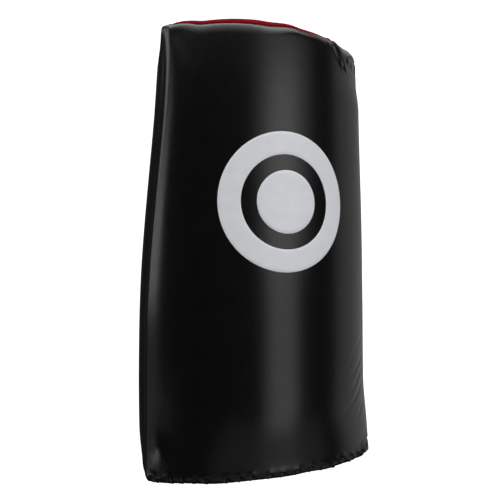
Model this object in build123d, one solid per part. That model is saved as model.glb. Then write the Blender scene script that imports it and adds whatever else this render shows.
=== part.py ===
from build123d import *
import os
from math import asin, cos, degrees, radians, sin

# A padded wall target for punching. Millimetres. The origin is the middle of the face that lies on
# the wall: +Y points into the wall, the striking face looks along -Y, and +Z is up.

# Overall shape
HEIGHT = 650.0
DEPTH = 180.0                # wall to the middle of the striking face
FACE_RADIUS = 240.0          # the striking face is part of an upright cylinder
BOTTOM_WIDTH = 379.2
TOP_WIDTH = 327.2
TAPER_START = -124.0         # height at which the sides begin to draw in
CORNER_RADIUS = 23.5         # between the striking face and a side wall
END_RADIUS = 19.0            # round each end
TOP_SEAM = 313.5             # heights of the seams that join the cover to the end panels
BOTTOM_SEAM = -319.0

# Layers, from the outside in
LEATHER = 1.5
FELT = 5.0
STRIKE_SHEET = 10.0
COMFORT_FOAM = 25.0
EDGE_FOAM = 12.0             # strips on the side walls and slabs at the ends
BOARD = 15.0
BACK_CLOTH = 0.6
HEM = 36.0                   # leather folded over onto the back, measured from the edge of the pad
CLOTH_EDGE = 14.0            # from the edge of the pad to the edge of the back cloth

# Target, measured along the leather
TARGET_HEIGHT = 66.7         # its centre, above the middle of the pad
RING_OUTER = 98.0
RING_INNER = 66.8
DISC = 44.0
PRINT = 0.3

# Tee nuts for M8 bolts
NUT_SPACING_X = 240.0
NUT_SPACING_Z = 400.0
THREAD_RADIUS = 3.4
BARREL_RADIUS = 5.0
BARREL_LENGTH = 11.0
FLANGE_RADIUS = 11.0
FLANGE = 1.5
PRONG = (1.2, 6.0, 3.0)
PRONG_RADIUS = 9.2
CLOTH_HOLE_RADIUS = 6.5

# Staples
STAPLE_CROWN = 10.0
STAPLE_LEG = 9.0
STAPLE_WIRE = 1.2
STAPLE_THICKNESS = 0.5
STAPLE_PITCH = 52.0
STAPLE_INSET = 24.0

# Closing stitches along the bottom seam
STITCH_PITCH = 22.0
STITCH_COUNT = 19
STITCH_RADIUS = 0.8
STITCH_GAP = 0.05
STITCH_START = 8.0           # degrees round the bottom edge, from level
STITCH_SWEEP = 52.0

HALF_HEIGHT = HEIGHT / 2
AXIS_Y = FACE_RADIUS - DEPTH
REACH = 2 * HEIGHT           # larger than the pad, for cutting blocks
HEM_BACK = BACK_CLOTH
BOARD_BACK = BACK_CLOTH + LEATHER
BOARD_FRONT = BOARD_BACK + BOARD
STUFFING = LEATHER + FELT
EDGE_INSET = STUFFING + EDGE_FOAM


def span_y(front, back):
    """Everything between two distances from the wall."""
    return Pos(0, -(front + back) / 2, 0) * Box(REACH, front - back, REACH)


def span_z(low, high):
    """Everything between two heights."""
    return Pos(0, 0, (low + high) / 2) * Box(REACH, REACH, high - low)


def half_width(z, inset=0.0):
    """Half the pad's width at a height."""
    t = max(0.0, (z - TAPER_START) / (HALF_HEIGHT - TAPER_START))
    return (BOTTOM_WIDTH - (BOTTOM_WIDTH - TOP_WIDTH) * t * t * (3 - 2 * t)) / 2 - inset


def prism(inset, back):
    """The front view, extruded from a distance off the wall to past the striking face."""
    low = half_width(-HALF_HEIGHT, inset)
    high = half_width(HALF_HEIGHT, inset)
    third = (HALF_HEIGHT - TAPER_START) / 3
    right = [
        (low, TAPER_START),
        (low, TAPER_START + third),
        (high, HALF_HEIGHT - third),
        (high, HALF_HEIGHT),
    ]
    left = [(-x, z) for x, z in right]
    edges = Curve() + [
        Line((low, -HALF_HEIGHT), (low, TAPER_START)),
        Bezier(*right),
        Line((high, HALF_HEIGHT), (-high, HALF_HEIGHT)),
        Bezier(*left),
        Line((-low, TAPER_START), (-low, -HALF_HEIGHT)),
        Line((-low, -HALF_HEIGHT), (low, -HALF_HEIGHT)),
    ]
    return Pos(0, -back, 0) * extrude(Plane.XZ * make_face(edges), DEPTH)


def drum(inset):
    """The upright cylinder that the striking face is part of."""
    return Pos(0, AXIS_Y, 0) * Cylinder(FACE_RADIUS - inset, REACH)


def body(inset, back):
    """The pad's own shape, moved in by a layer's depth and stopped short of the wall."""
    top = HALF_HEIGHT - inset
    solid = prism(inset, back) & drum(inset) & span_z(-top, top)
    corners = [
        edge
        for edge in solid.edges()
        if edge.bounding_box().size.Z > HEIGHT / 4 and edge.center().Y < -back - 1
    ]
    solid = fillet(corners, CORNER_RADIUS - inset)
    ends = [
        edge
        for edge in solid.edges()
        if abs(abs(edge.center().Z) - top) < 0.01 and edge.center().Y < -back - 1
    ]
    return fillet(ends, END_RADIUS - inset)


def tee_nut():
    """A flange that lies on the front of the board, a barrel through it, and four prongs."""
    flange = Pos(0, -BOARD_FRONT - FLANGE / 2, 0) * Rot(90, 0, 0) * Cylinder(FLANGE_RADIUS, FLANGE)
    barrel = Pos(0, -BOARD_FRONT + BARREL_LENGTH / 2, 0) * Rot(90, 0, 0)
    nut = flange + barrel * Cylinder(BARREL_RADIUS, BARREL_LENGTH)
    for turn in range(4):
        prong = Pos(PRONG_RADIUS, PRONG[1] / 2 - BOARD_FRONT, 0) * Box(*PRONG)
        nut += Rot(0, 45 + 90 * turn, 0) * prong
    return nut - Rot(90, 0, 0) * Cylinder(THREAD_RADIUS, REACH)


def staple():
    """A staple driven from the wall side, with its crown along X and its outer face at the wall."""
    crown = Pos(0, -STAPLE_THICKNESS / 2, 0) * Box(STAPLE_CROWN, STAPLE_THICKNESS, STAPLE_WIRE)
    for side in (-1, 1):
        x = side * (STAPLE_CROWN - STAPLE_THICKNESS) / 2
        crown += Pos(x, -STAPLE_LEG / 2, 0) * Box(STAPLE_THICKNESS, STAPLE_LEG, STAPLE_WIRE)
    return crown


def staple_row(count, place):
    """Staples at even steps, each put where place says for its distance from the row's middle."""
    row = []
    for index in range(count):
        row.append(place((index - (count - 1) / 2) * STAPLE_PITCH) * staple())
    return row


def stitch():
    """One closing stitch round the bottom edge, in its own frame: X outwards, turning to down."""
    thread = Plane.XZ * Pos(END_RADIUS + STITCH_RADIUS + STITCH_GAP, 0) * Circle(STITCH_RADIUS)
    return Rot(0, 0, STITCH_START) * revolve(thread, Axis.Z, STITCH_SWEEP)


def stitch_place(index):
    """The frame of one stitch on the circle that the bottom edge's rounding follows."""
    turn = degrees(STITCH_PITCH / FACE_RADIUS) * (index - (STITCH_COUNT - 1) / 2)
    out = (sin(radians(turn)), -cos(radians(turn)), 0)
    reach = FACE_RADIUS - END_RADIUS
    centre = (out[0] * reach, AXIS_Y + out[1] * reach, END_RADIUS - HALF_HEIGHT)
    return Plane(origin=centre, x_dir=out, z_dir=(-out[1], out[0], 0)).location


def print_film(radius):
    """A round patch of film on the face, with its radius measured along the curved leather."""
    across = FACE_RADIUS * sin(radius / FACE_RADIUS)
    patch = extrude(Plane.XZ * Pos(0, TARGET_HEIGHT) * Ellipse(across, radius), REACH)
    film = Pos(0, AXIS_Y, 0) * (Cylinder(FACE_RADIUS + PRINT, REACH) - Cylinder(FACE_RADIUS, REACH))
    return patch & film


# The leather: a shell, and hems folded onto the back of the board
shell = body(0, HEM_BACK) - body(LEATHER, HEM_BACK)
inside = body(LEATHER, HEM_BACK)
hem = (inside - prism(HEM, 0)) & span_y(BOARD_BACK, HEM_BACK)
hem += inside & span_y(BOARD_BACK, HEM_BACK) & (
    span_z(HALF_HEIGHT - HEM, HALF_HEIGHT) + span_z(-HALF_HEIGHT, HEM - HALF_HEIGHT)
)
side_hems = hem & span_z(HEM - HALF_HEIGHT, HALF_HEIGHT - HEM)
top_hem = hem & span_z(HALF_HEIGHT - HEM, HALF_HEIGHT)
bottom_hem = hem & span_z(-HALF_HEIGHT, HEM - HALF_HEIGHT)

# The stuffing: felt all round, foam at the sides and ends, and three layers behind the face
within_felt = body(STUFFING, BOARD_BACK)
stuffing = within_felt & span_y(DEPTH, BOARD_FRONT)
foam_top = HALF_HEIGHT - EDGE_INSET
between_ends = stuffing & span_z(-foam_top, foam_top)
middle_prism = prism(EDGE_INSET, 0)
middle = between_ends & middle_prism
side_foam = between_ends - middle_prism
half_space = Pos(REACH / 2, 0, 0) * Box(REACH, REACH, REACH)
strike_back = drum(STUFFING + STRIKE_SHEET)
comfort_back = drum(STUFFING + STRIKE_SHEET + COMFORT_FOAM)

parts = {
    "felt_wrap": body(LEATHER, BOARD_BACK) - within_felt,
    "strike_sheet": middle - strike_back,
    "comfort_foam": (middle & strike_back) - comfort_back,
    "core_block": middle & comfort_back,
    "left_side_foam": side_foam - half_space,
    "right_side_foam": side_foam & half_space,
    "top_end_foam": stuffing & span_z(foam_top, HALF_HEIGHT),
    "bottom_end_foam": stuffing & span_z(-HALF_HEIGHT, -foam_top),
    "backboard": within_felt & span_y(BOARD_FRONT, BOARD_BACK),
    "front_cover": (shell & span_z(BOTTOM_SEAM, TOP_SEAM)) + side_hems,
    "top_end_panel": (shell & span_z(TOP_SEAM, HALF_HEIGHT)) + top_hem,
    "bottom_end_panel": (shell & span_z(-HALF_HEIGHT, BOTTOM_SEAM)) + bottom_hem,
    "target_ring": print_film(RING_OUTER) - print_film(RING_INNER),
    "target_disc": print_film(DISC),
}

# The back cloth lies over the hems, with its edge a little inside theirs
cloth_top = HALF_HEIGHT - CLOTH_EDGE
parts["back_cloth"] = (
    prism(CLOTH_EDGE, 0) & span_y(BACK_CLOTH, 0) & span_z(-cloth_top, cloth_top)
)

# Tee nuts: the board is drilled for their barrels, and the core gives way to their flanges
for row, z in (("top", 1), ("bottom", -1)):
    for column, x in (("left", -1), ("right", 1)):
        place = Pos(x * NUT_SPACING_X / 2, 0, z * NUT_SPACING_Z / 2)
        nut = place * tee_nut()
        core = place * Rot(90, 0, 0) * Cylinder(BARREL_RADIUS, REACH) & span_y(BOARD_FRONT, 0)
        flange = place * Rot(90, 0, 0) * Cylinder(FLANGE_RADIUS, REACH)
        parts["tee_nut_" + row + "_" + column] = nut
        parts["backboard"] -= nut + core
        parts["core_block"] -= flange & span_y(BOARD_FRONT + FLANGE, 0)
        parts["back_cloth"] -= place * Rot(90, 0, 0) * Cylinder(CLOTH_HOLE_RADIUS, REACH)

# Staples: rows along the four edges of the back cloth
end_z = HALF_HEIGHT - STAPLE_INSET
end_count = 6
side_count = 11
staples = {
    "staples_top": staple_row(end_count, lambda step: Pos(step, 0, end_z)),
    "staples_bottom": staple_row(end_count, lambda step: Pos(step, 0, -end_z)),
}
for name, side in (("staples_left", -1), ("staples_right", 1)):
    staples[name] = staple_row(
        side_count,
        lambda step: Pos(side * half_width(step, STAPLE_INSET), 0, step) * Rot(0, 90, 0),
    )
for name, row in staples.items():
    parts[name] = Compound(children=row)
    for node in ("back_cloth", "backboard", "front_cover", "top_end_panel", "bottom_end_panel"):
        for one in row:
            parts[node] -= one

stitches = [stitch_place(index) * stitch() for index in range(STITCH_COUNT)]
parts["bottom_closing_stitches"] = Compound(children=stitches)

os.makedirs("parts", exist_ok=True)
for name, part in parts.items():
    export_step(part, "parts/" + name + ".step")
    print(name, round(part.volume / 1000, 2), "cm3")
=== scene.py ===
import math

import bmesh
import bpy
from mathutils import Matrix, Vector, noise
from mathutils.kdtree import KDTree


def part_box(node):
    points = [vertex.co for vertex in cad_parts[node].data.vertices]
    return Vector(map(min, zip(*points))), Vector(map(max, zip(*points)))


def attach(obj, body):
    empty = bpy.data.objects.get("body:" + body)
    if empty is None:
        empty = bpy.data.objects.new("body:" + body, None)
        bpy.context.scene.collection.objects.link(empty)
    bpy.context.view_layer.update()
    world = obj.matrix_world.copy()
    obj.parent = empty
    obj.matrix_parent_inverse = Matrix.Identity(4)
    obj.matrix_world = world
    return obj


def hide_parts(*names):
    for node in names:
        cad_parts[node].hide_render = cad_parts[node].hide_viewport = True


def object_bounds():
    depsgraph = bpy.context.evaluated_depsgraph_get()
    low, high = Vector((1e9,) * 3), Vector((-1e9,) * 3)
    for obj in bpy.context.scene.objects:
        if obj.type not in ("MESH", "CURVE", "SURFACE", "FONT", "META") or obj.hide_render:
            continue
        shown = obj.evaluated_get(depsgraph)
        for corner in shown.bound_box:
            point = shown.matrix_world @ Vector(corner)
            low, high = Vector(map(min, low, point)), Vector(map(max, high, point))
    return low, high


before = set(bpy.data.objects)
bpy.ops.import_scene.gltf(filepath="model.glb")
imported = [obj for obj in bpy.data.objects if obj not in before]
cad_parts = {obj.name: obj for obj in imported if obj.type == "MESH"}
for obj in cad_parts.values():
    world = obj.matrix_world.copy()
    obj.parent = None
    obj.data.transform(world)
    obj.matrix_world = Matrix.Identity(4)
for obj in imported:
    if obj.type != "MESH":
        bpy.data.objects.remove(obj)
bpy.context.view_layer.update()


# ---------------------------------------------------------------------------
# Backboard
# A sheet of birch plywood that everything else is glued, drawn over or stapled to. It is bought
# sanded, sawn to the outline of the pad and left bare, since leather and cloth hide all of it.

def material(name, roughness, **sockets):
    """A Principled material, with what is the same all over set on the shader's own sockets."""
    made = bpy.data.materials.new(name)
    made.use_nodes = True
    shader = made.node_tree.nodes["Principled BSDF"]
    shader.inputs["Roughness"].default_value = roughness
    for socket, value in sockets.items():
        shader.inputs[socket.replace("_", " ")].default_value = value
    return made, made.node_tree.nodes, made.node_tree.links, shader


def surface_coordinates(nodes, links, stretch=(1, 1, 1)):
    """Object coordinates, stretched along the axes."""
    where = nodes.new("ShaderNodeTexCoord")
    mapping = nodes.new("ShaderNodeMapping")
    mapping.inputs["Scale"].default_value = stretch
    links.new(where.outputs["Object"], mapping.inputs["Vector"])
    return mapping.outputs["Vector"]


def noise_pattern(nodes, links, vector, scale, detail=4.0):
    """A fractal noise, as a value from 0 to 1."""
    texture = nodes.new("ShaderNodeTexNoise")
    texture.inputs["Scale"].default_value = scale
    texture.inputs["Detail"].default_value = detail
    texture.inputs["Roughness"].default_value = 0.6
    links.new(vector, texture.inputs["Vector"])
    return texture.outputs["Fac"]


def colours(nodes, links, value, stops):
    """A colour for each value, given as (position, (r, g, b)) stops."""
    ramp = nodes.new("ShaderNodeValToRGB")
    while len(ramp.color_ramp.elements) < len(stops):
        ramp.color_ramp.elements.new(0.5)
    for element, (position, rgb) in zip(ramp.color_ramp.elements, stops):
        element.position = position
        element.color = (*rgb, 1)
    links.new(value, ramp.inputs["Fac"])
    return ramp.outputs["Color"]


def spread(nodes, links, value, low, high):
    """A value from 0 to 1, spread between two others."""
    remap = nodes.new("ShaderNodeMapRange")
    remap.inputs["To Min"].default_value = low
    remap.inputs["To Max"].default_value = high
    links.new(value, remap.inputs["Value"])
    return remap.outputs["Result"]


def bumps(nodes, links, shader, height, distance, strength=1.0, below=None):
    """Raises a height pattern on the shader's surface, over another bump if one is given."""
    bump = nodes.new("ShaderNodeBump")
    bump.inputs["Distance"].default_value = distance
    bump.inputs["Strength"].default_value = strength
    links.new(height, bump.inputs["Height"])
    if below is not None:
        links.new(below, bump.inputs["Normal"])
    links.new(bump.outputs["Normal"], shader.inputs["Normal"])
    return bump.outputs["Normal"]


plywood, nodes, links, shader = material("birch_plywood", 0.62)
along_grain = surface_coordinates(nodes, links, (26, 60, 1.6))
veneer = noise_pattern(nodes, links, along_grain, 6.0, detail=8.0)
birch = [(0.25, (0.50, 0.34, 0.19)), (0.55, (0.68, 0.51, 0.32)), (0.8, (0.75, 0.60, 0.41))]
links.new(colours(nodes, links, veneer, birch), shader.inputs["Base Color"])
bumps(nodes, links, shader, veneer, 0.0002, 0.4)
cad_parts["backboard"].data.materials.clear()
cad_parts["backboard"].data.materials.append(plywood)


# ---------------------------------------------------------------------------
# Tee nuts
# Four zinc-plated steel tee nuts, hammered into the board from its front before the foam goes on.
# The wall bolts screw into their barrels through small holes in the back cloth.

zinc, nodes, links, shader = material("zinc_plate", 0.34, Metallic=1.0)
spangle = noise_pattern(nodes, links, surface_coordinates(nodes, links), 420.0)
plating = [(0.3, (0.52, 0.53, 0.52)), (0.7, (0.72, 0.72, 0.68))]
links.new(colours(nodes, links, spangle, plating), shader.inputs["Base Color"])
links.new(spread(nodes, links, spangle, 0.24, 0.44), shader.inputs["Roughness"])
bumps(nodes, links, shader, spangle, 0.00005, 0.5)
for row in ("top", "bottom"):
    for column in ("left", "right"):
        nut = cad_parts["tee_nut_" + row + "_" + column]
        nut.data.materials.clear()
        nut.data.materials.append(zinc)


# ---------------------------------------------------------------------------
# Front cover
# One sheet of black synthetic leather, drawn tight over the striking face and both side walls, with
# its long edges folded onto the back of the board. Its spare length is gathered in at the corners.

half_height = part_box("top_end_panel")[1].z
bottom_half_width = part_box("front_cover")[1].x
top_half_width = 0.1636
taper_start = -0.124
face_radius = 0.240
axis_y = face_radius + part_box("front_cover")[0].y
back_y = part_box("front_cover")[1].y
corner_radius = 0.0235
fold_radius = 0.002
hem_width = 0.036
fold_turn = 0.25             # share of the hem's stretch that goes round the fold
top_seam_gap = 0.011         # from the seam to the end, measured on the back
bottom_seam_gap = 0.006
leather_thickness = 0.0014
pad_middle = Vector((0, -0.08, 0))
hem_overlap = 0.022          # how far a side hem reaches under an end panel's hem
hem_tuck = 0.0006            # how much deeper it lies there
tuck_start = 0.05            # where it starts to go deeper, from the pad's end
tuck_end = 0.04              # where it has gone all the way
flat_hem = 3.4               # the place on the girth where a hem lies flat

# How each end is shaped along the girth: how far it stands past the CAD end, its rounding, and how
# far round the rounding its seam lies in degrees. The places are as in girth_point.
top_lift = [
    (-2.6, 0.0), (-2.0, -0.002), (-1.5, -0.002), (-1.05, 0.0025), (-0.8, 0.006), (-0.3, 0.0075),
    (0.0, 0.0045), (0.2, 0.0022), (0.4, 0.0028), (0.55, 0.0058), (0.7, 0.0078), (0.85, 0.009),
    (1.3, 0.004), (2.4, 0.0),
]
top_radius = [
    (-3.0, 0.012), (-1.9, 0.006), (-1.4, 0.008), (-1.0, 0.018), (-0.7, 0.034), (-0.2, 0.036),
    (0.1, 0.026), (0.4, 0.024), (0.7, 0.028), (1.0, 0.016), (1.3, 0.012), (3.0, 0.014),
]
top_seam = [
    (-2.4, 58), (-1.6, 72), (-1.2, 66), (-0.95, 40), (-0.7, 33), (-0.3, 31),
    (0.0, 35), (0.45, 42), (0.7, 50), (0.85, 66), (1.3, 72), (2.4, 58),
]
bottom_lift = [
    (-2.8, 0.002), (-1.7, 0.008), (-1.1, 0.0115), (-0.6, 0.003), (-0.2, 0.0), (0.15, 0.002),
    (0.45, 0.008), (0.75, 0.016), (1.05, 0.022), (1.6, 0.015), (2.9, 0.002),
]
bottom_radius = [
    (-3.0, 0.012), (-2.3, 0.021), (-1.7, 0.022), (-1.2, 0.018), (-0.8, 0.017),
    (0.0, 0.017), (0.6, 0.011), (1.2, 0.005), (3.0, 0.009),
]
bottom_seam = [(-1.0, 57), (-0.7, 57), (-0.4, 61), (0.2, 66), (1.6, 66)]
face_bow = 0.009             # how far the face's middle goes back at the bottom end
corner_bow = 1.2             # how far its corners come forward there, as a share of that
bow_start = -0.215           # the height that the face starts to flatten at
least_hem = 0.0002           # the least that a side hem reaches past its fold


def eased(place, stops):
    """A smooth value between (place, value) stops, level past both ends."""
    if place <= stops[0][0]:
        return stops[0][1]
    for (low, start), (high, end) in zip(stops, stops[1:]):
        if place <= high:
            share = (place - low) / (high - low)
            return start + (end - start) * share * share * (3 - 2 * share)
    return stops[-1][1]


def hump(place, middle, width):
    """A smooth hump: 1 in its middle and next to nothing two widths away."""
    return math.exp(-((place - middle) / width) ** 2)


def half_width(z):
    """Half the pad's width at a height: full up to the taper, then drawn in."""
    share = min(1.0, max(0.0, (z - taper_start) / (half_height - taper_start)))
    return bottom_half_width - (bottom_half_width - top_half_width) * share * share * (3 - 2 * share)


def corner(z):
    """The middle of the corner's arc at a height, and how far round the face it starts."""
    x = half_width(z) - corner_radius
    turn = math.asin(x / (face_radius - corner_radius))
    return x, axis_y - (face_radius - corner_radius) * math.cos(turn), turn


def flattening(q, z):
    """How far back a place moves as the face flattens towards the bottom: its middle goes back and
    its corners come forward."""
    q = abs(q)
    if q <= 1:
        across = 1 - (1 + corner_bow) * q * q
    else:
        across = -corner_bow / 2 * max(0.0, 3 - q)
    return face_bow * eased(-z, [(-bow_start, 0.0), (half_height, 1.0)]) * across


def girth_point(q, z, inset=0.0, hem=hem_width):
    """A point on the girth at a height. q is 0 in the middle of the face, 1 where the corner
    starts, 2 where the side wall starts, 3 at the back, and 4 at the hem's edge. The left is
    negative."""
    side = math.copysign(1, q)
    back = flattening(q, z)
    q = abs(q)
    corner_x, corner_y, turn = corner(z)
    if q <= 1:
        radius = face_radius - inset
        x = radius * math.sin(turn * q)
        y = axis_y - radius * math.cos(turn * q)
    elif q <= 2:
        angle = turn + (math.pi / 2 - turn) * (q - 1)
        radius = corner_radius - inset
        x = corner_x + radius * math.sin(angle)
        y = corner_y - radius * math.cos(angle)
    elif q <= 3:
        x = corner_x + corner_radius - inset
        y = corner_y + (back_y - fold_radius - corner_y) * (q - 2)
    elif q <= 3 + fold_turn:
        angle = math.pi / 2 * (q - 3) / fold_turn
        x = corner_x + corner_radius - inset - fold_radius * (1 - math.cos(angle))
        y = back_y - fold_radius * (1 - math.sin(angle))
    else:
        share = (q - 3 - fold_turn) / (1 - fold_turn)
        x = corner_x + corner_radius - inset - fold_radius - max(hem - fold_radius, least_hem) * share
        y = back_y
    return Vector((side * x, y + back, z))


def girth_distance(q, z):
    """How far a place on the girth is from the middle of the face, measured along the leather."""
    _, corner_y, turn = corner(z)
    face = face_radius * turn
    bend = corner_radius * (math.pi / 2 - turn)
    reach = min(3.0, abs(q))
    if reach <= 1:
        distance = reach * face
    elif reach <= 2:
        distance = face + (reach - 1) * bend
    else:
        distance = face + bend + (reach - 2) * (back_y - corner_y)
    return math.copysign(distance, q)


def end_shape(q, top):
    """(lift, rounding, seam's turn) of an end at a place on the girth."""
    if top:
        return eased(q, top_lift), eased(q, top_radius), math.radians(eased(q, top_seam))
    return eased(q, bottom_lift), eased(q, bottom_radius), math.radians(eased(q, bottom_seam))


def hem_at(z, top):
    """The side hem's width at a height: cut slantwise where it goes under an end panel's hem."""
    gap = top_seam_gap if top else bottom_seam_gap
    return min(hem_width, half_height - gap - abs(z) + hem_overlap)


def end_point(q, turn, top):
    """A point on the rounding of an end: turn is 0 on the side and a right angle on the flat."""
    lift, radius, _ = end_shape(q, top)
    z = half_height + lift - radius * (1 - math.sin(turn))
    z = z if top else -z
    return girth_point(q, z, radius * (1 - math.cos(turn)), hem_at(z, top))


def straight(q):
    """The lowest and the highest point of the straight of the pad at a place on the girth."""
    bottom_out, bottom_round, _ = end_shape(q, False)
    top_out, top_round, _ = end_shape(q, True)
    return -(half_height + bottom_out - bottom_round), half_height + top_out - top_round


def leather_point(q, t):
    """A point on the cover: t runs from -1 to 1 up the straight of the pad, and on to -2 and 2 at
    the seams, round the ends."""
    top = t > 0
    if abs(t) > 1:
        return end_point(q, (abs(t) - 1) * end_shape(q, top)[2], top)
    low, high = straight(q)
    z = low + (high - low) * (t + 1) / 2
    return girth_point(q, z, 0.0, hem_at(z, top))


def outward(point_at, a, b, step=1e-3):
    """The direction off a surface given by two parameters."""
    across = point_at(a + step, b) - point_at(a - step, b)
    up = point_at(a, b + step) - point_at(a, b - step)
    return across.cross(up).normalized()


# The swell of the foam under the leather: the pad as one closed bag, simulated as cloth under
# pressure, with its back and its seams held.
bag_shrink = 0.003
bag_voxel = 0.006
bag_columns = 96
bag_levels = [-2, -1.6, -1.3] + [-1 + 0.08 * index for index in range(26)] + [1.3, 1.6, 2]
bag_frames = 20
bag_stretch = 40             # how stiff the bag's cloth is against stretching
bag_shear = 20
bag_bending = 2
bag_pressure = 4
held_back = 0.008            # how far from the back the bag is held
held_end = 0.010             # how far from its ends
swell_reach = 0.014          # how far round a place its swell is averaged
face_swell = 0.0012          # the most that the foam swells behind the face
wall_swell = 0.0045          # the most at the side walls


def grown_ring(builder, ring, edges):
    """Extrudes a loop of edges on the spot. Gives the new loop's points, in the order of the old
    ones, and its edges."""
    made = bmesh.ops.extrude_edge_only(builder, edges=edges)["geom"]
    points = [item for item in made if isinstance(item, bmesh.types.BMVert)]
    fresh = {vert.co.copy().freeze(): vert for vert in points}
    ring = [fresh[vert.co.copy().freeze()] for vert in ring]
    around = set(ring)
    edges = [item for item in made if isinstance(item, bmesh.types.BMEdge)]
    return ring, [edge for edge in edges if all(vert in around for vert in edge.verts)]


def bag_mesh():
    """The pad's outside as a closed mesh of even squares, at full size: simulated_swell then takes it a
    little under size.
    """
    bag = bmesh.new()
    ring = bmesh.ops.create_circle(bag, segments=bag_columns, radius=1)["verts"]
    edges = list(bag.edges)
    for number, level in enumerate(bag_levels):
        for index, vert in enumerate(ring):
            vert.co = leather_point(-3 + 6 * index / (bag_columns - 1), level)
        if number < len(bag_levels) - 1:
            ring, edges = grown_ring(bag, ring, edges)
    for z_side in (-1, 1):
        loop = [edge for edge in bag.edges if edge.is_boundary and edge.verts[0].co.z * z_side > 0]
        bmesh.ops.contextual_create(bag, geom=loop)
    bmesh.ops.recalc_face_normals(bag, faces=bag.faces)
    shell = piece("bag", bag)
    remesh = shell.modifiers.new("remesh", "REMESH")
    remesh.mode = "VOXEL"
    remesh.voxel_size = bag_voxel
    even = bpy.data.meshes.new_from_object(shell.evaluated_get(bpy.context.evaluated_depsgraph_get()))
    bpy.data.objects.remove(shell)
    return even


def simulated_swell():
    """Where the bag's points start, and how far each one is pushed out."""
    even = bag_mesh()
    bag = bpy.data.objects.new("bag", even)
    bpy.context.scene.collection.objects.link(bag)
    normals = [vert.normal.copy() for vert in even.vertices]
    for vert, normal in zip(even.vertices, normals):
        vert.co -= normal * bag_shrink
    before = [vert.co.copy() for vert in even.vertices]
    held = bag.vertex_groups.new(name="held")
    for vert in even.vertices:
        if vert.co.y > back_y - held_back or abs(vert.co.z) > half_height - held_end:
            held.add([vert.index], 1.0, "REPLACE")
    cloth = bag.modifiers.new("cloth", "CLOTH")
    cloth.settings.quality = 6
    cloth.settings.tension_stiffness = bag_stretch
    cloth.settings.compression_stiffness = bag_stretch
    cloth.settings.shear_stiffness = bag_shear
    cloth.settings.bending_stiffness = bag_bending
    cloth.settings.use_pressure = True
    cloth.settings.uniform_pressure_force = bag_pressure
    cloth.settings.vertex_group_mass = "held"
    cloth.settings.effector_weights.gravity = 0
    cloth.point_cache.frame_end = bag_frames
    for number in range(1, bag_frames + 1):
        bpy.context.scene.frame_set(number)
    after = bag.evaluated_get(bpy.context.evaluated_depsgraph_get()).data
    moved = []
    for vert, start, normal in zip(after.vertices, before, normals):
        moved.append((vert.co - start).dot(normal))
    bpy.context.scene.frame_set(1)
    bpy.data.objects.remove(bag)
    return before, moved


def piece(name, mesh_builder, *materials):
    """An object at the origin with a mesh taken from a bmesh, smooth-shaded."""
    mesh = bpy.data.meshes.new(name)
    mesh_builder.to_mesh(mesh)
    mesh_builder.free()
    mesh.shade_smooth()
    for each in materials:
        mesh.materials.append(each)
    made = bpy.data.objects.new(name, mesh)
    bpy.context.scene.collection.objects.link(made)
    return made


bag_points, bag_moves = simulated_swell()
bag_tree = KDTree(len(bag_points))
for index, point in enumerate(bag_points):
    bag_tree.insert(point, index)
bag_tree.balance()
most_moved = max(bag_moves)


def swell(q, point):
    """How far the foam swells the leather at a place: least along the seams and the back."""
    most = eased(abs(q), [(0.8, face_swell), (1.9, wall_swell)])
    total = 0.0
    shares = 0.0
    for _, index, distance in bag_tree.find_range(point, swell_reach):
        share = (1 - (distance / swell_reach) ** 2) ** 2
        total += share * bag_moves[index]
        shares += share
    return most * math.tanh(2 * total / shares / most_moved) if shares else 0.0


# Creases, as (start, end, width, depth): a start and an end are (distance round the girth, height).
creases = [
    ((0.0860, 0.3160), (0.1140, 0.2850), 0.0032, 0.0072),
    ((0.0760, 0.3180), (0.0830, 0.3080), 0.0030, 0.0012),
    ((0.1250, 0.3060), (0.1310, 0.2940), 0.0030, 0.0015),
    ((0.1430, 0.3050), (0.1480, 0.2930), 0.0030, 0.0012),
    ((0.143, -0.160), (0.190, -0.136), 0.0046, 0.0004),
    ((0.146, -0.192), (0.192, -0.166), 0.0046, 0.0006),
    ((0.112, -0.184), (0.137, -0.171), 0.0040, 0.0003),
    ((0.141, -0.216), (0.191, -0.189), 0.0044, 0.0006),
    ((0.148, -0.236), (0.194, -0.209), 0.0044, 0.0006),
    ((0.100, -0.255), (0.192, -0.221), 0.0056, 0.0003),
    ((0.160, -0.268), (0.197, -0.244), 0.0044, 0.0005),
    ((0.1500, -0.3360), (0.2130, -0.3240), 0.0036, 0.0042),
    ((0.0930, -0.3340), (0.0980, -0.3270), 0.0026, 0.0022),
]
crease_past = 0.3            # how far a crease fades past its ends, as a share of its length
crease_middle = 0.4          # where it is deepest, as a share of its length
crease_fade = 0.5
crease_reach = 4             # how far to its side it is worked out, in widths
ridge_place = 1.7            # how far to its side its ridges are, in widths
ridge_breadth = 0.9
ridge_share = 0.45           # how high they are, as a share of its depth
# The ears, where a corner's spare leather stands out: (place, is at the top, how far, how broad)
ears = [(-1.9, True, 0.0030, 0.4), (0.92, True, 0.0022, 0.22), (1.15, False, 0.0022, 0.3)]
ear_reach = 0.016            # how far from the seam an ear fades
# Bulges where the foam is packed tight, as (distance round the girth, height, breadth, how far)
bulges = [(-0.185, -0.278, 0.015, 0.0028)]
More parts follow.
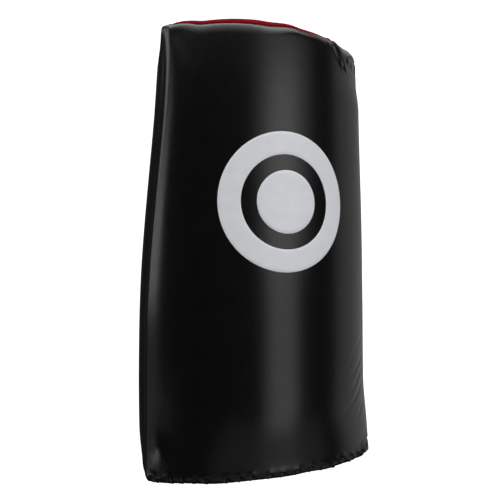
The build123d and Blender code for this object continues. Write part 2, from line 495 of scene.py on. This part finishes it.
# How far the top right corner is drawn in, by height, and where on the girth and how broadly.
corner_pull = [(0.235, 0.0), (0.285, 0.0060), (0.305, 0.0090), (0.325, 0.0090)]
pull_place = 1.3
pull_breadth = 0.55
seam_groove = 0.0013         # how deep the leather is drawn in along a seam
groove_breadth = 0.0028
unevenness = 0.0005          # how far the foam's top is from even
gather_pitch = 0.0085
gather_place = 1.55          # where the gathers are deepest
gather_breadth = 0.35
gather_reach = 0.010         # how far from the seam they fade
top_gather = 0.0008
bottom_gather = 0.0009
least_gather = 0.0001        # what is left of them along the rest of a seam
right_gather = 1.5           # how much deeper they are at the bottom right
stitch_pitch = 0.022
stitch_count = 19
stitch_wander = 0.4          # how unevenly the stitches are spaced, as a share of their pitch
stitch_bite = 0.0125         # from the seam to where a closing stitch goes into the cover
stitch_lean = 0.35           # how slantwise its dimple lies
dimple_depth = 0.0034
dimple_width = 0.0036
dimple_height = 0.0034
brow_rise = 0.0013           # how far the leather stands out beyond a dimple
brow_width = 0.0050
brow_height = 0.0028
brow_place = stitch_bite + 0.0060
pucker_reach = 0.012         # how far along the seam a stitch draws on the leather


def stitch_distance(index):
    """How far round the girth a closing stitch is: sewn by hand, so unevenly spaced."""
    uneven = noise.noise(Vector((index * 1.37, 4.2, 0.8))) * stitch_wander
    return (index - (stitch_count - 1) / 2 + uneven) * stitch_pitch


stitch_places = [stitch_distance(index) for index in range(stitch_count)]


def crease_relief(s, z):
    """How far the creases dent the leather at a place, with a low ridge on each side of each."""
    total = 0.0
    for (s0, z0), (s1, z1), width, depth in creases:
        along = Vector((s1 - s0, z1 - z0))
        offset = Vector((s - s0, z - z0))
        share = offset.dot(along) / along.length_squared
        if not -crease_past < share < 1 + crease_past:
            continue
        across = abs(offset.x * along.y - offset.y * along.x) / along.length
        if across < crease_reach * width:
            fade = hump(share, crease_middle, crease_fade)
            r = across / width
            total += depth * fade * (ridge_share * hump(r, ridge_place, ridge_breadth) - hump(r, 0, 1))
    return total


def gather_relief(q, s, from_seam, top):
    """The leather's spare length, gathered in along the seam near the corners."""
    most = top_gather if top else bottom_gather
    strength = most * hump(abs(q), gather_place, gather_breadth) + least_gather
    if q > 0 and not top:
        strength *= right_gather
    wander = noise.noise(Vector((s * 60, 3.1 if top else 7.7, 0)))
    wave = math.cos(2 * math.pi * s / gather_pitch + 2.5 * wander)
    return strength * wave * math.exp(-abs(from_seam) / gather_reach)


def pucker_relief(s, from_seam):
    """The dimples that the closing stitches pull into both sides of the bottom seam."""
    total = 0.0
    for place in stitch_places:
        if abs(s - place) < pucker_reach:
            slanted = place + stitch_lean * (stitch_bite - abs(from_seam))
            dimple = hump(s, slanted, dimple_width) * hump(abs(from_seam), stitch_bite, dimple_height)
            brow = hump(s, place, brow_width) * hump(from_seam, brow_place, brow_height)
            total += brow_rise * brow - dimple_depth * dimple
    return total


def relief(q, point, from_seam, top):
    """How far the leather stands off its even shape at a place. from_seam is negative on a panel."""
    if abs(q) > 3:
        under_end = eased(abs(point.z), [(half_height - tuck_start, 0.0), (half_height - tuck_end, 1.0)])
        return -hem_tuck * under_end * eased(abs(q), [(3 + fold_turn, 0.0), (flat_hem, 1.0)])
    s = girth_distance(q, point.z)
    total = noise.noise(Vector((s * 9, point.z * 7, 1.7))) * unevenness + swell(q, point)
    total -= seam_groove * hump(from_seam, 0, groove_breadth)
    total -= eased(point.z, corner_pull) * hump(q, pull_place, pull_breadth)
    for bulge_s, bulge_z, breadth, stand in bulges:
        total += stand * hump(s, bulge_s, breadth) * hump(point.z, bulge_z, breadth)
    for place, at_top, stand, breadth in ears:
        if top == at_top:
            total += stand * hump(q, place, breadth) * hump(from_seam, 0, ear_reach)
    if not top:
        total += pucker_relief(s, from_seam)
    return total + gather_relief(q, s, from_seam, top) + crease_relief(s, point.z)


def dressed_leather(q, t):
    """A point on the cover with its relief."""
    point = leather_point(q, t)
    top = t > 0
    _, radius, seam = end_shape(q, top)
    if abs(t) > 1:
        from_seam = (2 - abs(t)) * seam * radius
    else:
        from_seam = seam * radius + (1 - abs(t)) * half_height
    return point + outward(leather_point, q, t) * relief(q, point, from_seam, top)


grain_depth = 0.00016
scuff_depth = 0.00032


def leather(name, dark, light, roughness, shine=0.5):
    """Synthetic leather: pebbled grain with pores, faint mottling and scuffs."""
    made, nodes, links, shader = material(name, roughness)
    shader.inputs["Specular IOR Level"].default_value = shine
    place = surface_coordinates(nodes, links)
    mottle = noise_pattern(nodes, links, place, 38.0, detail=6.0)
    links.new(colours(nodes, links, mottle, [(0.35, dark), (0.7, light)]), shader.inputs["Base Color"])
    pebble = nodes.new("ShaderNodeTexVoronoi")
    pebble.feature = "F1"
    pebble.inputs["Scale"].default_value = 900.0
    links.new(place, pebble.inputs["Vector"])
    pebble_bump = bumps(nodes, links, shader, pebble.outputs["Distance"], grain_depth, 0.35)
    scuff = noise_pattern(nodes, links, place, 160.0, detail=5.0)
    bumps(nodes, links, shader, scuff, scuff_depth, 0.25, below=pebble_bump)
    links.new(spread(nodes, links, scuff, roughness - 0.07, roughness + 0.07), shader.inputs["Roughness"])
    return made


def thicken(made, thickness):
    """Gives a sheet its thickness, inwards."""
    solid = made.modifiers.new("thickness", "SOLIDIFY")
    solid.thickness = thickness
    solid.offset = -1


def steps(knots):
    """Values through knots given as (value, steps to the next)."""
    values = []
    for (low, count), (high, _) in zip(knots, knots[1:]):
        values += [low + (high - low) * index / count for index in range(count)]
    return values + [knots[-1][0]]


def grid_piece(name, columns, rows, place, *materials):
    """A sheet with a point at place(column, row) for each column and row, facing away from the
    point at the middle of the pad."""
    sheet = bmesh.new()
    bmesh.ops.create_grid(sheet, x_segments=len(columns) - 1, y_segments=len(rows) - 1, size=0.5)
    for vert in sheet.verts:
        column = columns[round((vert.co.x + 0.5) * (len(columns) - 1))]
        vert.co = place(column, rows[round((vert.co.y + 0.5) * (len(rows) - 1))])
    bmesh.ops.recalc_face_normals(sheet, faces=sheet.faces)
    facing = 0.0
    for face in sheet.faces:
        facing += (face.calc_center_median() - pad_middle).dot(face.normal) * face.calc_area()
    if facing < 0:
        bmesh.ops.reverse_faces(sheet, faces=sheet.faces)
    return piece(name, sheet, *materials)


black_leather = leather("black_leather", (0.0022, 0.0022, 0.0024), (0.0034, 0.0034, 0.0037), 0.23)
# The squares are smallest at the target, the corners and the seams.
cover_columns = steps([
    (-4, 2), (-3.25, 2), (-3, 16), (-2, 10), (-1, 60), (-0.36, 64),
    (0.36, 88), (1, 12), (2, 18), (3, 2), (3.25, 2), (4, 0),
])
cover_rows = steps([(-2, 14), (-1, 10), (-0.9, 64), (-0.36, 36), (0.80, 30), (1, 14), (2, 0)])
cover = grid_piece("front_cover_leather", cover_columns, cover_rows, dressed_leather, black_leather)
thicken(cover, leather_thickness)
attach(cover, "root")
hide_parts("front_cover", "felt_wrap", "strike_sheet", "comfort_foam", "core_block")
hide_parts("left_side_foam", "right_side_foam")


# ---------------------------------------------------------------------------
# Printed target
# A ring and a disc of pale bluish grey ink, screen-printed thick on the leather before the cover
# was sewn. The ink fills most of the grain, so it looks smoother than the leather round it.

print_lift = 0.0003          # how thick the ink is
print_edge = 0.0004          # how far outside its ink a print's edge meets the leather
print_segments = 144
smallest_ring = 0.0005       # the radius of the ring that closes a disc
target_z = (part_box("target_ring")[0].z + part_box("target_ring")[1].z) / 2
ring_outer = (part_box("target_ring")[1].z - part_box("target_ring")[0].z) / 2
ring_inner = 0.0668
disc_radius = (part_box("target_disc")[1].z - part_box("target_disc")[0].z) / 2

ink, nodes, links, shader = material("pale_print", 0.42)
place = surface_coordinates(nodes, links)
patchy = noise_pattern(nodes, links, place, 55.0, detail=7.0)
greys = [(0.3, (0.80, 0.82, 0.865)), (0.7, (0.865, 0.875, 0.915))]
links.new(colours(nodes, links, patchy, greys), shader.inputs["Base Color"])
pebble = nodes.new("ShaderNodeTexVoronoi")
pebble.inputs["Scale"].default_value = 900.0
links.new(place, pebble.inputs["Vector"])
bumps(nodes, links, shader, pebble.outputs["Distance"], 0.0001, 0.3)


def face_place(radius, angle):
    """A place on the cover from a distance and a direction off the target's middle."""
    z = target_z + radius * math.sin(angle)
    _, _, turn = corner(z)
    q = radius * math.cos(angle) / (face_radius * turn)
    low, high = straight(q)
    return q, 2 * (z - low) / (high - low) - 1


def printed(name, node, inner, outer, rings):
    """A round print that follows the leather, with its edge turned down onto it."""
    builder = bmesh.new()
    radii = [outer + print_edge] + [outer + (inner - outer) * k / rings for k in range(rings + 1)]
    if inner:
        radii.append(inner - print_edge)
    ring = bmesh.ops.create_circle(builder, segments=print_segments, radius=radii[0])["verts"]
    edges = list(builder.edges)
    for radius in radii[1:]:
        ring, edges = grown_ring(builder, ring, edges)
        for vert in ring:
            vert.co = vert.co.normalized() * max(radius, smallest_ring)
    if not inner:
        bmesh.ops.contextual_create(builder, geom=edges)
    for vert in builder.verts:
        radius = vert.co.length
        q, t = face_place(radius, math.atan2(vert.co.y, vert.co.x))
        on_ink = inner - print_edge / 2 <= radius <= outer + print_edge / 2
        vert.co = dressed_leather(q, t) + outward(leather_point, q, t) * (print_lift if on_ink else 0.0)
    bmesh.ops.recalc_face_normals(builder, faces=builder.faces)
    if sum(face.normal.y for face in builder.faces) > 0:
        bmesh.ops.reverse_faces(builder, faces=builder.faces)
    made = piece(name, builder, ink)
    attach(made, "root")
    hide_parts(node)


printed("target_ring_print", "target_ring", ring_inner, ring_outer, 8)
printed("target_disc_print", "target_disc", 0.0, disc_radius, 9)


# ---------------------------------------------------------------------------
# End panels
# Red synthetic leather across the top and the bottom, sewn to the cover inside out and turned, with
# a hem folded down onto the back of the board. The foam under the top makes it stand up in a low
# dome, and the bottom sinks in a little.

red_leather = leather("red_leather", (0.20, 0.0015, 0.006), (0.27, 0.003, 0.010), 0.6, shine=0.02)
rim_rings = 9
dome_rings = 14
front_places = [q for q in cover_columns if -3 <= q <= 3]
back_steps = 40
dome_smoothing = 40          # how often the dome's heights are evened out
top_dome = 0.005             # how far the middle of the top stands out from its rim
bottom_dome = -0.004


def dressed_end(q, turn, top):
    """A point on the rounding of an end with its relief, on either side of the seam."""
    _, radius, seam = end_shape(q, top)
    point = end_point(q, turn, top)
    direction = outward(lambda a, b: end_point(a, b, top), q, turn)
    if (direction.z if top else -direction.z) < 0:
        direction = -direction
    return point + direction * relief(q, point, (seam - turn) * radius, top)


def panel_rim(index, share, top):
    """A point of a panel's rim: index runs round it, and share from the leather's edge, 0, to where
    the flat of the end begins, 1."""
    if index < len(front_places):
        q = front_places[index]
        seam = end_shape(q, top)[2]
        return dressed_end(q, seam + (math.pi / 2 - seam) * share, top)
    across = 1 - 2 * (index + 1 - len(front_places)) / back_steps
    reach = end_point(3, math.pi / 2, top).x
    flat = half_height + end_shape(3, top)[0]
    gap = top_seam_gap if top else bottom_seam_gap
    edge = flat - min(hem_width, gap + reach * (1 - abs(across)))
    fall = flat - fold_radius - edge
    gone = share * (fall + fold_radius * math.pi / 2)
    if gone < fall:
        y, z = back_y, edge + gone
    else:
        angle = (gone - fall) / fold_radius
        y = back_y - fold_radius * (1 - math.cos(angle))
        z = flat - fold_radius * (1 - math.sin(angle))
    return Vector((reach * across, y, z if top else -z))


def end_panel(name, top, dome):
    """The rim by extruding a loop from the leather's edge, then a dome of loops scaled inwards."""
    builder = bmesh.new()
    count = len(front_places) + back_steps - 1
    ring = bmesh.ops.create_circle(builder, segments=count, radius=1)["verts"]
    edges = list(builder.edges)
    flat_rim = [panel_rim(index, 1.0, top) for index in range(count)]
    for step in range(rim_rings + dome_rings + 1):
        for index, vert in enumerate(ring):
            if step <= rim_rings:
                vert.co = panel_rim(index, step / rim_rings, top)
                continue
            share = 1 - (step - rim_rings) / (dome_rings + 0.5)
            rise = dome * (1 - share * share) ** 1.5
            x = flat_rim[index].x * share
            y = pad_middle.y + (flat_rim[index].y - pad_middle.y) * share
            vert.co = Vector((x, y, flat_rim[index].z + (rise if top else -rise)))
        if step < rim_rings + dome_rings:
            ring, edges = grown_ring(builder, ring, edges)
    bmesh.ops.contextual_create(builder, geom=edges)
    builder.verts.ensure_lookup_table()
    dome_points = builder.verts[count * (rim_rings + 2):]
    for _ in range(dome_smoothing):
        bmesh.ops.smooth_vert(builder, verts=dome_points, factor=0.5, use_axis_z=True)
    bmesh.ops.recalc_face_normals(builder, faces=builder.faces)
    up = sum(face.normal.z * face.calc_area() for face in builder.faces)
    if (up > 0) != top:
        bmesh.ops.reverse_faces(builder, faces=builder.faces)
    made = piece(name, builder, red_leather)
    thicken(made, leather_thickness)
    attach(made, "root")
    return made


top_panel = end_panel("top_panel_leather", True, top_dome)
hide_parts("top_end_panel", "top_end_foam")
bottom_panel = end_panel("bottom_panel_leather", False, bottom_dome)
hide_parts("bottom_end_panel", "bottom_end_foam")


# ---------------------------------------------------------------------------
# Closing stitches
# The pad is stuffed through its bottom, so the front of the bottom seam is closed last, by hand, with
# waxed black thread. Each stitch pulls a dimple into the leather on both sides of the seam.

thread_radius = 0.0006
thread_sides = 8
thread_steps = 12
stitch_slant = 0.004         # how far along the seam a stitch leans
thread_lift = 0.0002         # how far its middle stands off the leather
thread_sink = 0.0012         # how far its ends are pulled in, below that

waxed_thread, nodes, links, shader = material("waxed_thread", 0.45)
twist = noise_pattern(nodes, links, surface_coordinates(nodes, links, (900, 900, 1400)), 1.0)
black_fibre = [(0.3, (0.006, 0.006, 0.007)), (0.7, (0.022, 0.022, 0.024))]
links.new(colours(nodes, links, twist, black_fibre), shader.inputs["Base Color"])
bumps(nodes, links, shader, twist, 0.0002, 0.6)


def tube(builder, path, radius, sides):
    """A closed round tube along a path, by extruding a circle from point to point."""
    ring = None
    angles = [2 * math.pi * k / sides for k in range(sides)]
    for index, point in enumerate(path):
        ahead = path[min(index + 1, len(path) - 1)] - path[max(index - 1, 0)]
        turn = ahead.to_track_quat("Z", "Y")
        if ring is None:
            ring = bmesh.ops.create_circle(builder, segments=sides, radius=radius, cap_ends=True)["verts"]
            edges = list({edge for vert in ring for edge in vert.link_edges})
        else:
            ring, edges = grown_ring(builder, ring, edges)
        for vert, angle in zip(ring, angles):
            spot = Vector((radius * math.cos(angle), radius * math.sin(angle), 0))
            vert.co = point + turn @ spot
    bmesh.ops.contextual_create(builder, geom=edges)


builder = bmesh.new()
for place in stitch_places:
    path = []
    for step in range(thread_steps + 1):
        share = step / thread_steps
        over = stitch_bite * (1 - 2 * share)
        turn_there = corner(-half_height)[2]
        q = (place + stitch_slant * (share - 0.5)) / (face_radius * turn_there)
        _, radius, seam = end_shape(q, False)
        on_leather = dressed_end(q, seam - over / radius, False)
        off = outward(lambda a, b: end_point(a, b, False), q, seam - over / radius)
        off = off if off.y < 0 else -off
        path.append(on_leather + off * (thread_lift - thread_sink * (2 * share - 1) ** 4))
    tube(builder, path, thread_radius, thread_sides)
bmesh.ops.recalc_face_normals(builder, faces=builder.faces)
closing = piece("bottom_closing_thread", builder, waxed_thread)
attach(closing, "root")
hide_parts("bottom_closing_stitches")


# ---------------------------------------------------------------------------
# Back cloth
# A sheet of black woven polypropylene over the back of the board and the hems, with its edge turned
# under and stapled all round. It has a small hole for each tee nut.

cloth_thickness = 0.0006
cloth_inset = 0.014          # from the edge of the pad to the edge of the cloth
cloth_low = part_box("back_cloth")[0].z
cloth_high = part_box("back_cloth")[1].z
widest = bottom_half_width - cloth_inset
bolt_hole = 0.0065
bolt_x = (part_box("tee_nut_top_right")[0].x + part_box("tee_nut_top_right")[1].x) / 2
bolt_z = (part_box("tee_nut_top_right")[0].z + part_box("tee_nut_top_right")[1].z) / 2
even_width = 0.134           # half the width that keeps its shape as the cloth tapers
staple_pitch = 0.052         # from one staple to the next
staple_line = 0.010          # from the cloth's edge to the staples
staple_hold = 0.004          # how broadly a row of staples holds the cloth down
turned_under = 0.012         # how far its edge is turned under
turn_step = 0.0015           # how far in from there it comes down to one layer
hem_end = 0.0235             # where it leaves the hems, from its edge
board_start = 0.033          # where it has come down onto the board
on_hems = -0.0004            # how it lies on the hems, in from the back
board_dip = 0.0010           # how much deeper it lies on the board
edge_rise = 0.00025          # how much the turned edge lifts it
staple_grip = 0.7            # how much of its slack a row of staples takes away
slack_rise = 0.0008          # how far it stands up between two staples
slack_reach = 0.030          # how far in from the edge that dies away
drift_depth = 0.0004         # how uneven it lies on the board
fine_reach = 0.009           # how far round a bolt hole its squares are finer

back_fabric, nodes, links, shader = material("woven_backing", 0.8)
shader.inputs["Sheen Weight"].default_value = 0.15
place = surface_coordinates(nodes, links)
weave_height = None
for direction in ("X", "Z"):
    yarn = nodes.new("ShaderNodeTexWave")
    yarn.bands_direction = direction
    yarn.inputs["Scale"].default_value = 160.0
    yarn.inputs["Distortion"].default_value = 0.6
    yarn.inputs["Detail"].default_value = 1.0
    links.new(place, yarn.inputs["Vector"])
    if weave_height is None:
        weave_height = yarn.outputs["Fac"]
    else:
        crossing = nodes.new("ShaderNodeMath")
        crossing.operation = "MULTIPLY"
        links.new(weave_height, crossing.inputs[0])
        links.new(yarn.outputs["Fac"], crossing.inputs[1])
        weave_height = crossing.outputs["Value"]
yarn_blacks = [(0.05, (0.020, 0.020, 0.022)), (0.7, (0.075, 0.075, 0.080))]
links.new(colours(nodes, links, weave_height, yarn_blacks), shader.inputs["Base Color"])
weave_bump = bumps(nodes, links, shader, weave_height, 0.0003, 0.7)
fuzz = noise_pattern(nodes, links, place, 240.0)
bumps(nodes, links, shader, fuzz, 0.0002, 0.3, below=weave_bump)


def cloth_point(column, z):
    """A point on the back cloth: it lies on the hems near its edge and dips onto the board inside
    them, with the edge turned under, held down at the staples and slack between them."""
    side = math.copysign(1, column)
    edge = half_width(z) - cloth_inset
    x = abs(column)
    if x > even_width:
        x = even_width + (x - even_width) * (edge - even_width) / (widest - even_width)
    from_side = edge - x
    from_end = min(z - cloth_low, cloth_high - z)
    from_edge = min(from_side, from_end)
    along = z if from_side < from_end else x
    offset = 0.5 * staple_pitch if from_side >= from_end else 0.0
    between = 0.5 - 0.5 * math.cos(2 * math.pi * (along + offset) / staple_pitch)
    on_board = eased(from_edge, [(hem_end, 0.0), (board_start, 1.0)])
    single = eased(from_edge, [(turned_under, 0.0), (turned_under + turn_step, 1.0)])
    lie = on_hems - board_dip * on_board + edge_rise * (1 - single)
    loose = 1 - staple_grip * hump(from_edge, staple_line, staple_hold)
    slack = slack_rise * between * hump(from_edge, 0.0, slack_reach) * loose
    drift = drift_depth * noise.noise(Vector((x * side * 22, z * 14, 9.3))) * on_board
    return Vector((side * x, lie + slack + drift, z))


fine_x = [bolt_x - fine_reach, bolt_x + fine_reach]
fine_z = [bolt_z - fine_reach, bolt_z + fine_reach]
cloth_columns = steps([
    (-widest, 22), (-fine_x[1], 16), (-fine_x[0], 36), (fine_x[0], 16), (fine_x[1], 22), (widest, 0),
])
cloth_rows = steps([
    (cloth_low, 42), (-fine_z[1], 16), (-fine_z[0], 84), (fine_z[0], 16), (fine_z[1], 42), (cloth_high, 0),
])
back_cloth = grid_piece("back_cloth_fabric", cloth_columns, cloth_rows, cloth_point, back_fabric)


def off_bolt(point, bolt):
    """How a point lies off a bolt's middle, across the cloth."""
    return Vector((point.x - bolt.x, 0, point.z - bolt.z))


builder = bmesh.new()
builder.from_mesh(back_cloth.data)
for x in (-bolt_x, bolt_x):
    for z in (-bolt_z, bolt_z):
        bolt = Vector((x, 0, z))
        inside = []
        for face in builder.faces:
            if off_bolt(face.calc_center_median(), bolt).length < bolt_hole:
                inside.append(face)
        bmesh.ops.delete(builder, geom=inside, context="FACES")
        for vert in builder.verts:
            off = off_bolt(vert.co, bolt)
            if vert.is_boundary and off.length < 2 * bolt_hole:
                rim = bolt + off.normalized() * bolt_hole
                vert.co.x = rim.x
                vert.co.z = rim.z
if sum(face.normal.y for face in builder.faces) < 0:
    bmesh.ops.reverse_faces(builder, faces=builder.faces)
builder.to_mesh(back_cloth.data)
builder.free()
thicken(back_cloth, cloth_thickness)
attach(back_cloth, "root")
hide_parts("back_cloth")


# ---------------------------------------------------------------------------
# Staples
# Galvanised wire staples, driven by a pneumatic gun round the four edges of the back cloth. Each one
# goes through the cloth and the folded hem into the board.

wire, nodes, links, shader = material("galvanised_wire", 0.3, Metallic=1.0)
streaks = noise_pattern(nodes, links, surface_coordinates(nodes, links, (300, 60, 300)), 8.0)
galvanising = [(0.3, (0.46, 0.46, 0.45)), (0.7, (0.70, 0.70, 0.68))]
links.new(colours(nodes, links, streaks, galvanising), shader.inputs["Base Color"])
links.new(spread(nodes, links, streaks, 0.22, 0.42), shader.inputs["Roughness"])
bumps(nodes, links, shader, streaks, 0.00004, 0.5)
for edge_name in ("left", "right", "top", "bottom"):
    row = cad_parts["staples_" + edge_name]
    row.data.materials.clear()
    row.data.materials.append(wire)


# ---------------------------------------------------------------------------
# Studio
# A pale floor, a white dome that only the camera sees, and soft lights round the pad. None of it
# belongs to the pad.

dome_white, nodes, links, shader = material("studio_white", 0.9)
shader.inputs["Base Color"].default_value = (1, 1, 1, 1)
shader.inputs["Emission Color"].default_value = (1, 1, 1, 1)
shader.inputs["Emission Strength"].default_value = 1.2
builder = bmesh.new()
bmesh.ops.create_uvsphere(builder, u_segments=48, v_segments=24, radius=14)
studio = piece("studio_dome", builder, dome_white)
for kind in ("diffuse", "glossy", "transmission", "shadow"):
    setattr(studio, "visible_" + kind, False)

floor_paint, nodes, links, shader = material("pale_floor", 0.7)
shader.inputs["Base Color"].default_value = (0.55, 0.55, 0.55, 1)
shader.inputs["Emission Strength"].default_value = 1.0
distance = nodes.new("ShaderNodeVectorMath")
distance.operation = "LENGTH"
links.new(surface_coordinates(nodes, links, (0.2, 0.2, 0.2)), distance.inputs[0])
paleness = [(0.0, (0.72, 0.72, 0.72)), (1.0, (1.05, 1.05, 1.05))]
links.new(colours(nodes, links, distance.outputs["Value"], paleness), shader.inputs["Emission Color"])
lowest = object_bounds()[0].z
builder = bmesh.new()
bmesh.ops.create_grid(builder, x_segments=2, y_segments=2, size=12)
bmesh.ops.translate(builder, vec=(0, 0, lowest - 0.0003), verts=builder.verts)
floor = piece("studio_floor", builder, floor_paint)
floor.visible_glossy = False
floor.visible_shadow = False
floor.visible_diffuse = False


def softbox(name, bearing, elevation, distance, width, height, radiance):
    """An area light round the pad: bearing is 0 in front of it and 90 to its right."""
    light = bpy.data.lights.new(name, "AREA")
    light.shape = "RECTANGLE"
    light.size = width
    light.size_y = height
    light.energy = radiance * math.pi * width * height
    made = bpy.data.objects.new(name, light)
    bpy.context.scene.collection.objects.link(made)
    b, e = math.radians(bearing), math.radians(elevation)
    away = Vector((math.sin(b) * math.cos(e), -math.cos(b) * math.cos(e), math.sin(e)))
    made.location = Vector((0, -0.1, 0)) + away * distance
    made.rotation_euler = away.to_track_quat("Z", "Y").to_euler()
    made.visible_camera = False
    return made


softbox("front_right_strip", 19.5, -4, 2.4, 1.05, 3.5, 1.15)
softbox("front_right_head", 21, 18, 2.5, 1.9, 1.6, 0.55)
softbox("overhead", -30, 84, 2.2, 2.8, 0.9, 3.0)
softbox("overhead_front", -30, 64, 2.2, 2.8, 0.7, 1.1)
softbox("overhead_low", -30, 48, 2.2, 2.8, 0.5, 0.4)
softbox("left_side", -101, 17, 2.4, 1.0, 2.3, 1.6)
softbox("left_low", -100, -24, 2.4, 1.0, 0.9, 0.22)
softbox("left_floor", -86, -38, 2.4, 0.7, 0.7, 1.1)
softbox("right_side", 100, 0, 2.4, 2.6, 3.4, 0.32)
softbox("right_high", 105, 50, 2.4, 1.8, 1.0, 0.6)
softbox("floor_bounce", 15, -58, 2.2, 3.0, 1.6, 0.16)
# The last two only light: nothing glossy shows them.
for name, bearing, radiance in (("front_fill", -15, 1.4), ("behind_fill", 180, 2.2)):
    softbox(name, bearing, 15, 3.0, 2.6, 2.6, radiance).visible_glossy = False

world = bpy.data.worlds.new("studio_air")
bpy.context.scene.world = world
world.use_nodes = True
world.node_tree.nodes["Background"].inputs["Color"].default_value = (0.03, 0.03, 0.03, 1)
world.node_tree.nodes["Background"].inputs["Strength"].default_value = 1.0

camera = bpy.data.cameras.new("camera")
camera.lens = 26.76
camera_object = bpy.data.objects.new("camera", camera)
bpy.context.scene.collection.objects.link(camera_object)
camera_object.location = (-0.2138, -0.6535, -0.0071)
camera_object.rotation_euler = (math.radians(90.74), 0, math.radians(-18.5))
camera.clip_start = 0.01
bpy.context.scene.camera = camera_object
bpy.context.scene.view_settings.view_transform = "Standard"
